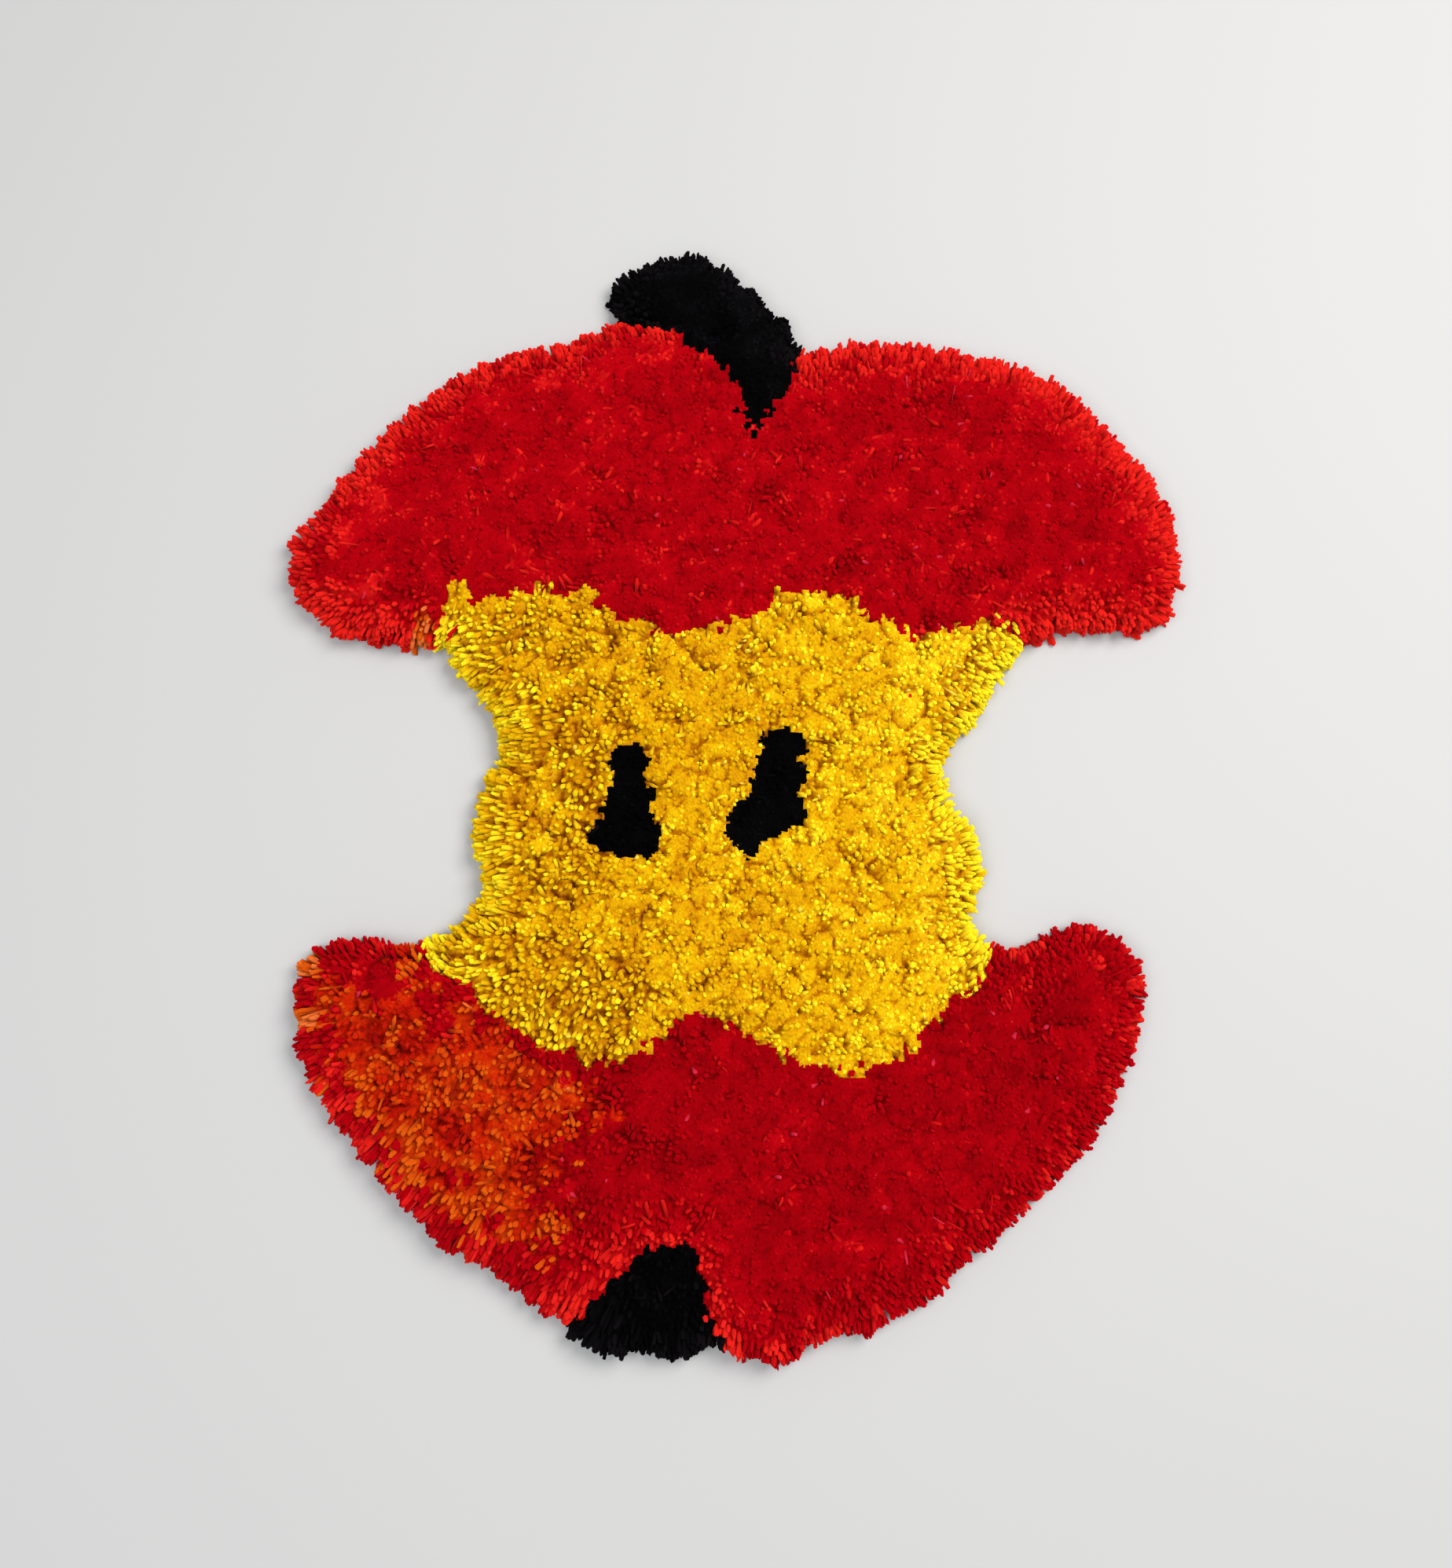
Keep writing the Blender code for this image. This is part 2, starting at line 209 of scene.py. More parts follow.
# How much its strands are like those at the rim
SKIRT_SHARE = 0.7
LOWEST_FOOT = 1.6 * MM
LOWEST_SHARE = 0.95
FOOT_UPRIGHT = 0.35
# How raggedly they end at the outline
RIM_EDGE = 0.3 * MM
RIM_RAGGED = 1.1 * MM
STEM_RAGGED = 0.55 * MM
RAGGED_LIMITS = (-4.5, 2.5)
MOST_DRAWN_BACK = 14 * MM

# The fused surface: tufts that part into clumps, with grooves between some of them
TUFT_STEP = 13 * MM
TUFT_LIFT = 0.35 * MM
TUFT_GROOVE = 2.8 * MM
TUFT_SLOPE = 3.4 * MM
CLUMP_STEP = 6 * MM
CLUMP_LIFT = 0.25 * MM
CLUMP_GROOVE = 2.2 * MM
CLUMP_SLOPE = 1.8 * MM
CLUMP_PULL = 0.2
DOME = 0.5 * MM
# Finer unevenness, as (size across, height)
FINE_LUMPS = ((2.4 * MM, 0.3 * MM), (7 * MM, 0.5 * MM))
# Differences in tint
TUFT_TINT = 0.09
CLUMP_TINT = 0.07
WIDE_TINT = 0.05
STRAND_TINT = 0.07
CORE_STRAND_TINT = 0.11
STRAY_TINT = 0.12
CORE_TINT = 0.1
# Painted light: the yellow is lighter towards the right, the side the light comes from. CORE_SIDES makes
# both of its sides lighter than the middle.
CORE_LIGHT_TO_RIGHT = 0.9
CORE_SIDES = 9
BASE_DARK = 0.15
# Painted highlight: strands near the rim are lighter, as their sides catch the light, the more so along the
# upper half of the rim.
RIM_HIGHLIGHT = 0.35
RIM_HIGHLIGHT_UP = 0.2
RELIEF = {"core": 1.15, "patch": 1}
OTHER_RELIEF = 0.6
WARP_SIZE = 7 * MM
WARP = 1.3 * MM

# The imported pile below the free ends
BED_STEP = 1.9 * MM
BED_JITTER = 0.4 * MM
BED_DROP = 0.35 * MM
BED_LEAN_DROP = 3.3 * MM
BED_LEAN_START = math.radians(10)
BED_LEAN_SPAN = math.radians(32)
BED_RIM = 8 * MM
STEM_BED_RIM = 1.8 * MM
BED_FOOT = 3 * MM
BED_ENDS = 6
BED_SHARE = 0.5
BED_GRAIN = np.array([30, 12]) * MM
# Painted shade: the bed is this much darker than the strand ends around it.
BED_SHADE = 0.1
SUNK = -0.2 * MM
CORE_SUNK = -0.45 * MM

# Mesh of a strand
SIDES = 5
INNER_STOPS = (0, 0.7, 0.94)
RIM_STOPS = (0, 0.42, 0.75, 0.96)
# Where the rim's begin, from 0 inside to 1 at the rim
RIM_MESH = 0.3

# Camera: the photograph's height above the piece, distance and focal length
CAMERA_ELEVATION = math.radians(81.5)
CAMERA_DISTANCE = 0.95
LENS = 36.07
SENSOR = 36
FLOOR_HALF = 4

chance = np.random.default_rng(SEED)


def evenly(loop, step):
    """The closed loop with its points a step apart."""
    closed = np.vstack([loop, loop[:1]])
    along = np.concatenate([[0], np.cumsum(np.linalg.norm(np.diff(closed, axis=0), axis=1))])
    stops = np.linspace(0, along[-1], round(along[-1] / step), endpoint=False)
    return np.stack([np.interp(stops, along, closed[:, axis]) for axis in (0, 1)], axis=1)


def smooth_loop(knots):
    """Evenly spaced points on a closed curve through the knots. It is sharp only at corners."""
    places = [Vector((*knot[:2], 0)) * MM for knot in knots]
    count = len(places)
    fine = []
    for index in range(count):
        before, here = places[index - 1], places[index]
        there, after = places[(index + 1) % count], places[(index + 2) % count]
        leaving = (there - before) * HANDLE_SHARE
        if knots[index][-1] == CORNER:
            leaving = (there - here) * CORNER_SHARE
        arriving = (after - here) * HANDLE_SHARE
        if knots[(index + 1) % count][-1] == CORNER:
            arriving = (there - here) * CORNER_SHARE
        stretch = geometry.interpolate_bezier(here, here + leaving, there - arriving, there, CURVE_POINTS)
        fine.extend(stretch[:-1])
    return evenly(np.array([point[:2] for point in fine]), OUTLINE_STEP) - DRAWN_MIDDLE


def inside(points, loop):
    """Whether each point lies inside the closed loop."""
    x, y = points[:, :1], points[:, 1:]
    start, end = loop, np.roll(loop, -1, axis=0)
    spans = (start[:, 1] > y) != (end[:, 1] > y)
    rise = np.where(end[:, 1] == start[:, 1], 1.0, end[:, 1] - start[:, 1])
    crossing = start[:, 0] + (y - start[:, 1]) / rise * (end[:, 0] - start[:, 0])
    return (spans & (x < crossing)).sum(axis=1) % 2 == 1


AREAS = {name: smooth_loop(knots) for name, knots in OUTLINES.items()}
NAMES = list(AREAS)
RELIEF_OF = np.array([RELIEF.get(name, OTHER_RELIEF) for name in NAMES])


def area_of(points):
    """The index of the area that each point lies in, or -1 outside all of them."""
    found = np.full(len(points), -1)
    for start in range(0, len(points), CHUNK):
        some = slice(start, start + CHUNK)
        for index in reversed(range(len(NAMES))):
            found[some][inside(points[some], AREAS[NAMES[index]])] = index
    return found


def tree_of(points):
    tree = kdtree.KDTree(len(points))
    for index, point in enumerate(points):
        tree.insert((*point, 0), index)
    tree.balance()
    return tree


def nearest(points, tree):
    """The distance to the tree's nearest point and its index, for each point."""
    found = [tree.find((*point, 0)) for point in points]
    return np.array([item[2] for item in found]), np.array([item[1] for item in found])


def rim_points():
    """Points along the outer outline of the areas together."""
    kept = []
    for name, loop in AREAS.items():
        fine = evenly(loop, RIM_STEP)
        buried = np.zeros(len(fine), bool)
        for other, other_loop in AREAS.items():
            if other != name:
                buried |= inside(fine, other_loop)
        kept.append(fine[~buried])
    return np.vstack(kept)


RIM = rim_points()
RIM_TREE = tree_of(RIM)


def waves(points, size, layer):
    """Smooth noise from about -1 to 1 at each point."""
    return 1.6 * np.array([noise.noise(Vector((x / size, y / size, layer))) for x, y in points])


def wave_pair(points, size, layer):
    return np.stack([waves(points, size, layer), waves(points, size, layer + 7.3)], axis=1)


def staggered(low, high, step, jitter):
    """Points in staggered rows between two corners, each a little off its place."""
    row_step = step * math.sqrt(3) / 2
    rows = []
    for row in range(int((high[1] - low[1]) / row_step) + 1):
        across = np.arange(low[0] + (row % 2) * step / 2, high[0], step)
        rows.append(np.stack([across, np.full(len(across), low[1] + row * row_step)], axis=1))
    points = np.vstack(rows)
    return points + chance.uniform(-jitter, jitter, points.shape)


def grid_steps(columns, rows):
    """The column and row of each point of a grid, row by row."""
    return np.stack(np.meshgrid(np.arange(columns), np.arange(rows)), axis=2).reshape(-1, 2)


def grid_quads(kept, columns, rows):
    """The grid's cells whose four corners are all kept."""
    ok = kept.reshape(rows, columns)
    row, column = np.nonzero(ok[:-1, :-1] & ok[:-1, 1:] & ok[1:, :-1] & ok[1:, 1:])
    start = row * columns + column
    return np.stack([start, start + 1, start + columns + 1, start + columns], axis=1)


def placed(name, data):
    """A new object with this data, in the scene."""
    item = bpy.data.objects.new(name, data)
    bpy.context.scene.collection.objects.link(item)
    return item


def smoothstep(x):
    x = np.clip(x, 0, 1)
    return x * x * (3 - 2 * x)


def skin_points(field):
    """Points spread over the model's skin without its flat underside, and the skin's normals there."""
    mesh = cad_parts[NODE].data
    mesh.calc_loop_triangles()
    places = np.empty(len(mesh.vertices) * 3, np.float32)
    mesh.vertices.foreach_get("co", places)
    corners = np.empty(len(mesh.loop_triangles) * 3, np.int32)
    mesh.loop_triangles.foreach_get("vertices", corners)
    triangles = places.reshape(-1, 3)[corners].reshape(-1, 3, 3).astype(float)
    normals = np.cross(triangles[:, 1] - triangles[:, 0], triangles[:, 2] - triangles[:, 0])
    sizes = np.linalg.norm(normals, axis=1)
    normals /= np.maximum(sizes, 1e-12)[:, None]
    kept = (normals[:, 2] > UNDERSIDE) & (sizes > 0)
    triangles, normals, sizes = triangles[kept], normals[kept], sizes[kept]
    which = chance.choice(len(sizes), TRIES, p=sizes / sizes.sum())
    first, second = chance.random(TRIES), chance.random(TRIES)
    over = first + second > 1
    first[over], second[over] = 1 - first[over], 1 - second[over]
    tried = triangles[which, 0] + (triangles[which, 1] - triangles[which, 0]) * first[:, None]
    tried += (triangles[which, 2] - triangles[which, 0]) * second[:, None]

    lean = field.read(field.lean, tried[:, :2])
    size = np.minimum(np.linalg.norm(lean, axis=1), 1.2)
    stretch = np.clip(1 + END_STRETCH * np.tan(size), 1, END_STRETCH_MOST)
    along_less = 1 / stretch**2 - 1
    way = unit(lean)
    rows = np.column_stack([tried, way, along_less, np.floor(tried[:, :2] / END_CELL)]).tolist()
    around = [(i, j) for i in range(-2, 3) for j in range(-2, 3)]
    around.sort(key=lambda step: step[0] ** 2 + step[1] ** 2)
    limit = END_GAP**2
    cells, kept = {}, []
    for index, (x, y, z, way_x, way_y, less, column, row) in enumerate(rows):
        free = True
        for i, j in around:
            for other_x, other_y, other_z in cells.get((column + i, row + j), ()):
                gap_x, gap_y, gap_z = x - other_x, y - other_y, z - other_z
                along = gap_x * way_x + gap_y * way_y
                if gap_x * gap_x + gap_y * gap_y + gap_z * gap_z + along * along * less < limit:
                    free = False
                    break
            if not free:
                break
        if free:
            cells.setdefault((column, row), []).append((x, y, z))
            kept.append(index)
    return tried[kept], normals[which[kept]]


def reach_at(points):
    """How far the pile reaches beyond the outlines beside each point, blended from the table."""
    table = np.array(REACHES) * MM
    gaps = np.linalg.norm(points[:, None] - (table[None, :, :2] - DRAWN_MIDDLE), axis=2)
    weights = (gaps**2 + REACH_BLEND**2) ** -2
    return (weights * table[:, 2]).sum(axis=1) / weights.sum(axis=1)


def blurred(grid):
    shifts = range(-FIELD_BLUR, FIELD_BLUR + 1)
    for _ in range(2):
        for axis in (0, 1):
            grid = sum(np.roll(grid, shift, axis) for shift in shifts) / len(shifts)
    return grid


class PlanField:
    """How far in from the model's edge a point is, and which way out is, read from a grid over the piece."""

    def __init__(self):
        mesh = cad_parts[NODE].data
        places = [vert.co.copy() for vert in mesh.vertices]
        tree = BVHTree.FromPolygons(places, [tuple(face.vertices) for face in mesh.polygons])
        self.low = RIM.min(axis=0) - FIELD_MARGIN
        self.shape = np.ceil((RIM.max(axis=0) + FIELD_MARGIN - self.low) / FIELD_STEP).astype(int) + 1
        steps = np.meshgrid(*(np.arange(n) for n in self.shape), indexing="ij")
        points = np.stack(steps, axis=2).reshape(-1, 2) * FIELD_STEP + self.low
        hits = [tree.ray_cast(Vector((x, y, 1)), Vector((0, 0, -1)))[0] for x, y in points]
        covered = np.array([hit is not None for hit in hits]).reshape(self.shape)
        inner = [np.roll(covered, shift, axis) for axis in (0, 1) for shift in (1, -1)]
        edge = covered & ~np.logical_and.reduce(inner)
        gap = nearest(points, tree_of(points[edge.ravel()]))[0].reshape(self.shape)
        self.lock_depth = np.where(covered, gap, -gap)
        gap = nearest(points, RIM_TREE)[0]
        inner = area_of(points) >= 0
        self.reach = reach_at(points).reshape(self.shape)
        self.depth = np.where(inner, gap, -gap).reshape(self.shape) + self.reach
        slope = np.gradient(blurred(self.depth), FIELD_STEP)
        self.outward = -np.stack(slope, axis=2)
        self.lean = self.leans(points).reshape(*self.shape, 2)

    def leans(self, points):
        """The way the pile leans at each point: outwards near the rim, and in drifts elsewhere."""
        near = np.clip(1 - np.maximum(self.depth.reshape(-1), 0) / RIM_BAND, 0, 1)[:, None]
        outward = self.outward.reshape(-1, 2)
        size = np.minimum(np.linalg.norm(outward, axis=1), 1)[:, None]
        drift = wave_pair(points, DRIFT_SIZE, 11) * DRIFT + wave_pair(points, SWIRL_SIZE, 13) * SWIRL
        edge = np.maximum((self.reach + HOME_INSET - self.depth).reshape(-1), 0)[:, None]
        home = points - unit(outward) * edge
        self.stem = (area_of(home) == NAMES.index("stem")).reshape(self.shape).astype(float)
        stem_end = smoothstep((-STEM_END - points[:, :1]) / STEM_END)
        stem_lean = STEM_LEAN + (STEM_END_LEAN - STEM_LEAN) * stem_end
        rim_lean = RIM_LEAN * (1 + (stem_lean - 1) * self.stem.reshape(-1, 1))
        x, y = points.T / MM
        combed = (smoothstep((-10 - x) / 90) * smoothstep((125 - y) / 40))[:, None]
        comb = COMBED + (PATCH_COMBED - COMBED) * smoothstep((-90 - y) / 60)[:, None]
        hang = SKIRT_LEAN * over_calyx(points)[:, None] * (1 - near)
        fan = unit(outward) * rim_lean * near**RIM_POWER * size**0.5
        return fan + drift * (1 - 0.6 * near) + combed * comb + hang

    def read(self, grid, points):
        place = np.clip((points - self.low) / FIELD_STEP, 0, self.shape - 1.001)
        start = np.floor(place).astype(int)
        (u, v), (i, j) = (place - start).T, start.T
        if grid.ndim == 3:
            u, v = u[:, None], v[:, None]
        first = grid[i, j] * (1 - u) + grid[i + 1, j] * u
        second = grid[i, j + 1] * (1 - u) + grid[i + 1, j + 1] * u
        return first * (1 - v) + second * v


def over_calyx(points):
    """1 at the outline of the black tuft under the base, falling to 0 a skirt's width from it."""
    return smoothstep(1 - nearest(points, tree_of(AREAS["calyx"]))[0] / SKIRT)


def with_patch(roots, area, depth, tint, relief_tint, tuft, clump):
    """Sets the orange patch, mixed with the red around it tuft by tuft, and the single tufts."""
    patch, base = NAMES.index("patch"), NAMES.index("base")
    within = nearest(roots, tree_of(AREAS["patch"]))[0]
    within = np.where(inside(roots, AREAS["patch"]), within, -within)
    within += PATCH_TUFT * chance.normal(0, 1, tuft.max() + 1)[tuft]
    within += PATCH_CLUMP * chance.normal(0, 1, clump.max() + 1)[clump]
    within -= PATCH_RIM_LOSS * np.clip(1 - depth / PATCH_RIM, 0, 1)
    lower = (area == patch) | (area == base)
    area[lower] = np.where(within > 0, patch, base)[lower]
    for x, y, radius, name, lighter in TUFTS:
        gap = np.linalg.norm(roots - (np.array([x, y]) * MM - DRAWN_MIDDLE), axis=1) / MM
        near = gap < radius * chance.uniform(0.8, 1.1, len(roots))
        area[near] = NAMES.index(name)
        tint[near] = np.clip(tint[near] + lighter, 0, 1)
    low = np.clip((-roots[:, 1] - PATCH_TOP) / (PATCH_BOTTOM - PATCH_TOP), 0, 1)
    orange = (area == patch) & (tint < 0.99)
    lighter = tint + PATCH_CONTRAST * relief_tint + PATCH_FADE * low + PATCH_SHIFT
    tint[orange] = np.clip(lighter, 0, LIGHTEST_ORANGE)[orange]
    return area, np.clip(tint, 0, 1)


def leaned(ways):
    """Unit directions from leans: the way it points in plan, as long as its angle from upright."""
    angle = np.linalg.norm(ways, axis=1)
    flat = ways / np.maximum(angle, 1e-9)[:, None]
    return np.column_stack([flat * np.sin(angle)[:, None], np.cos(angle)])


class Relief:
    """The pile's tufts and clumps: how high the fused surface stands at a point, and its tint."""

    def __init__(self):
        low, high = RIM.min(axis=0) - 0.03, RIM.max(axis=0) + 0.03
        self.tufts = staggered(low, high, TUFT_STEP, TUFT_STEP * 0.4)
        self.clumps = staggered(low, high, CLUMP_STEP, CLUMP_STEP * 0.45)
        self.tuft_tree, self.clump_tree = tree_of(self.tufts), tree_of(self.clumps)
        self.tuft_high, self.tuft_tint = chance.normal(0, 1, (2, len(self.tufts)))
        self.clump_high, self.clump_tint = chance.normal(0, 1, (2, len(self.clumps)))

    def grooves(self, points, tree, slope):
        """The nearest centre of each point, how deep it is in a groove, and how far from the centre."""
        found = [tree.find_n((*point, 0), 2) for point in points]
        first, second = np.array([[item[1] for item in pair] for pair in found]).T
        near, far = np.array([[item[2] for item in pair] for pair in found]).T
        # Each pair of neighbours has its own groove, some none, by a hash of their numbers.
        pair = np.minimum(first, second) * 12.9898 + np.maximum(first, second) * 78.233
        strength = smoothstep((np.sin(pair) * 43758.5453 % 1 - 0.3) / 0.4)
        return first, (1 - smoothstep((far - near) / slope)) * strength, near

    def read(self, points):
        bent = points + wave_pair(points, WARP_SIZE, 41) * WARP
        tuft, tuft_groove, _ = self.grooves(bent, self.tuft_tree, TUFT_SLOPE)
        clump, clump_groove, away = self.grooves(bent, self.clump_tree, CLUMP_SLOPE)
        lift = TUFT_LIFT * self.tuft_high[tuft] + CLUMP_LIFT * self.clump_high[clump]
        lift -= TUFT_GROOVE * tuft_groove + CLUMP_GROOVE * clump_groove
        lift -= DOME * (away / (0.6 * CLUMP_STEP)) ** 2
        for layer, (size, height) in zip((31, 33), FINE_LUMPS, strict=True):
            lift += height * waves(points, size, layer)
        groove = np.clip(tuft_groove + 0.8 * clump_groove, 0, 1)
        tint = TUFT_TINT * self.tuft_tint[tuft] + CLUMP_TINT * self.clump_tint[clump]
        tint += WIDE_TINT * waves(points, 30 * MM, 35)
        return lift, groove, tint, tuft, clump


def unit(vectors):
    return vectors / np.maximum(np.linalg.norm(vectors, axis=-1), 1e-9)[..., None]


def past_notches(field, tips, normals):
    """Moves ends out from the notches between the locks of the model's rim, so that strands fill them."""
    flat = tips[:, :2]
    outward = unit(field.read(field.outward, flat))
    lock_depth = np.maximum(field.read(field.lock_depth, flat), 0)
    notch = np.maximum(field.read(field.depth, flat), 0) - lock_depth
    flat = flat + outward * (notch * (1 - smoothstep(lock_depth / LOCK_BAND)))[:, None]
    tips[:, :2] = flat
    depth = np.maximum(field.read(field.depth, flat), 0)
    outward = unit(field.read(field.outward, flat))
    straight = outward * (normals[:, :2] * outward).sum(axis=1)[:, None]
    side = smoothstep(1.5 - depth / LOCK_BAND)[:, None]
    normals[:, :2] += (straight - normals[:, :2]) * side
    return flat, unit(normals), depth, outward


def areas_of(home, to_clump, to_tuft):
    """The area whose yarn each strand is. Clumps cross the areas' borders together, except at the seeds."""
    wave = wave_pair(home, BORDER_WAVE, 3)
    exact = area_of(home + wave * 0.5 * BORDER_SHIFT)
    spot = home + to_clump * BORDER_CLUMP + to_tuft * BORDER_TUFT
    spot += wave * BORDER_SHIFT + chance.normal(0, BORDER_SCATTER, home.shape)
    area = area_of(spot)
    seeds = (NAMES.index("left_seed"), NAMES.index("right_seed"))
    area = np.where(np.isin(area, seeds), NAMES.index("core"), area)
    area = np.where(np.isin(exact, seeds) | (area < 0), exact, area)
    area = np.where(area < 0, area_of(home), area)
    lost = area < 0
    area[lost] = area[~lost][nearest(home[lost], tree_of(home[~lost]))[1]]
    return area


def leans_of(lean, relief, tuft, clump, to_tuft, outward, near, share):
    """Each strand's own lean around that of the pile, and whether it is a stray."""
    count = len(lean)
    turn = chance.normal(0, CLUMP_TURN, len(relief.clumps))[clump] + chance.normal(0, STRAND_TURN, count)
    cosine, sine = np.cos(turn), np.sin(turn)
    x, y = lean.T
    lean = np.stack([x * cosine - y * sine, x * sine + y * cosine], axis=1)
    sway = chance.normal(0, TUFT_SWAY, relief.tufts.shape)[tuft]
    spread = -to_tuft / (0.5 * TUFT_STEP) * TUFT_FAN
    lean += (sway + spread) * (RIM_SWAY + (1 - RIM_SWAY) * (1 - near))[:, None]
    lean += chance.normal(0, STRAND_SWAY, lean.shape)
    stray = (chance.random(count) < STRAY_SHARE) & (share < 0.97)
    way = chance.uniform(0, 2 * math.pi, count)
    straight_out = np.arctan2(outward[:, 1], outward[:, 0]) + chance.normal(0, STRAY_SWAY, count)
    way = np.where(near > STRAY_RIM, straight_out, way)
    lean[stray] = STRAY_LEAN * np.stack([np.cos(way), np.sin(way)], axis=1)[stray]
    return lean, stray


def tints_of(flat, area, relief_tint, near, skirt, stray):
    """How light each strand is, from 0 to 1, and which strays are flecks, the lightest of all. Besides the
    yarn's own tone it holds painted light: a highlight near the rim, the yellow lighter to the right, and
    flecks that are partly painted highlight.
    """
    x, y = flat.T
    is_core = area == NAMES.index("core")
    own = chance.normal(0, 1, len(flat)) * np.where(is_core, CORE_STRAND_TINT, STRAND_TINT)
    tint = 0.5 + relief_tint + own + STRAY_TINT * stray
    # Painted light: the yellow is lighter to the right, the side the light comes from.
    core_tint = CORE_TINT + CORE_LIGHT_TO_RIGHT * x + CORE_SIDES * x**2
    # Painted highlight: near the rim the strands are lighter, more so on the upper half.
    tint += np.where(is_core, core_tint, RIM_HIGHLIGHT * near * (1 + RIM_HIGHLIGHT_UP * np.sign(y)))
    tint += SKIRT_TINT * skirt - BASE_DARK * (area == NAMES.index("base"))
    glint_fleck = stray & (chance.random(len(flat)) < GLINT_FLECK_SHARE)
    return np.where(glint_fleck, 1, np.clip(tint, 0, LIGHTEST)), glint_fleck


def grow_strands(field, relief):
    """Every strand's end, directions, length, radius, tint and area, as arrays, and which strands show."""
    tips, normals = skin_points(field)
    flat, normals, depth, outward = past_notches(field, tips, normals)
    count = len(tips)
    lift, _, relief_tint, tuft, clump = relief.read(flat)
    to_clump, to_tuft = relief.clumps[clump] - flat, relief.tufts[tuft] - flat
    home = flat - outward * np.maximum(field.read(field.reach, flat) + HOME_INSET - depth, 0)[:, None]
    area = areas_of(home, to_clump, to_tuft)
    is_stem = area == NAMES.index("stem")

    # Near the rim the strands lean outwards, the more so the nearer they are.
    near = np.clip(1 - depth / RIM_BAND, 0, 1)
    skirt = over_calyx(flat) * (area == NAMES.index("base"))
    share = np.maximum(smoothstep(near * 1.5), SKIRT_SHARE * skirt)
    lean = field.read(field.lean, flat)
    lean, stray = leans_of(lean, relief, tuft, clump, to_tuft, outward, near, share)
    free = INNER_FREE + (RIM_FREE - INNER_FREE) * share
    skin_share = np.where(stray, 0, SKIN_SHARE)[:, None]
    end_way = unit(leaned(lean) * (1 - skin_share) + normals * skin_share)

    # Clumps of them draw together. Their ends lie about level with the fused surface.
    ground = tips[:, 2].copy()
    pull = CLUMP_PULL * chance.uniform(0.4, 1.4, len(relief.clumps))[clump]
    tips[:, :2] += to_clump * pull[:, None]
    tips[:, :2] += to_tuft * (np.where(is_stem, 0, TUFT_PULL) * share)[:, None]
    loose = chance.normal(0, 1, count) * np.where(is_stem, STEM_LOOSE, INNER_LOOSE + RIM_LOOSER * share)
    deep = np.where(area == NAMES.index("core"), CORE_SUNK, SUNK)
    sunk = (loose < deep) & (share < 0.35) & ~stray
    lift *= RELIEF_OF[area]
    rise = loose + lift + END_RISE + np.where(stray, STRAY_RISE, 0)
    tips += end_way * rise[:, None]

    # None of them ends far beyond the outline. Where the model's rim does, they are drawn back.
    ragged = chance.normal(0, 1, len(relief.tufts))[tuft] + chance.normal(0, 1, len(relief.clumps))[clump]
    ragged = np.clip(ragged + chance.normal(0, 1.3, count), *RAGGED_LIMITS)
    ragged *= np.where(is_stem, STEM_RAGGED, RIM_RAGGED)
    over = np.clip(RIM_EDGE + ragged - field.read(field.depth, tips[:, :2]), 0, MOST_DRAWN_BACK)
    tips[:, :2] -= unit(field.read(field.outward, tips[:, :2])) * over[:, None]

    radius = (INNER_RADIUS + (RIM_RADIUS - INNER_RADIUS) * share) * chance.normal(1, 0.12, count)
    radius *= np.where(stray, np.where(near > STRAY_RIM, WISP_THIN, STRAY_THIN), 1)
    tips[:, 2] = np.maximum(tips[:, 2], radius * LOWEST_SHARE)
    end_way[:, 2] = np.minimum(end_way[:, 2], (tips[:, 2] - LOWEST_FOOT) / free)
    end_way = unit(end_way)
    upright = np.array([0, 0, FOOT_UPRIGHT]) * ((1 - near) * ~stray)[:, None]
    foot_way = end_way * (1 - FOOT_UPRIGHT) + upright
    foot_way[:, 2] = np.minimum(foot_way[:, 2], (tips[:, 2] - LOWEST_FOOT) / free)

    tint, glint_fleck = tints_of(flat, area, relief_tint, near, skirt, stray)
    free = np.where(glint_fleck & (near < STRAY_RIM), GLINT_FLECK_FREE, free)
    area, tint = with_patch(home, area, depth, tint, relief_tint, tuft, clump)
    found = {
        "ground": ground,
        "tip": tips,
        "area": area,
        "rim": near > RIM_MESH,
        "end_way": end_way,
        "foot_way": unit(foot_way),
        "free": free,
        "radius": radius,
        "bloom": chance.uniform(1, 1.35, count),
        "taper": chance.uniform(0.6, 1, count),
        "tint": tint,
        "phase": chance.uniform(0, 2 * math.pi, count),
        "twist": chance.uniform(0.4, 1.1, count),
        "sink": chance.uniform(-0.6, 0.35, count) * MM,
    }
    return found, ~sunk


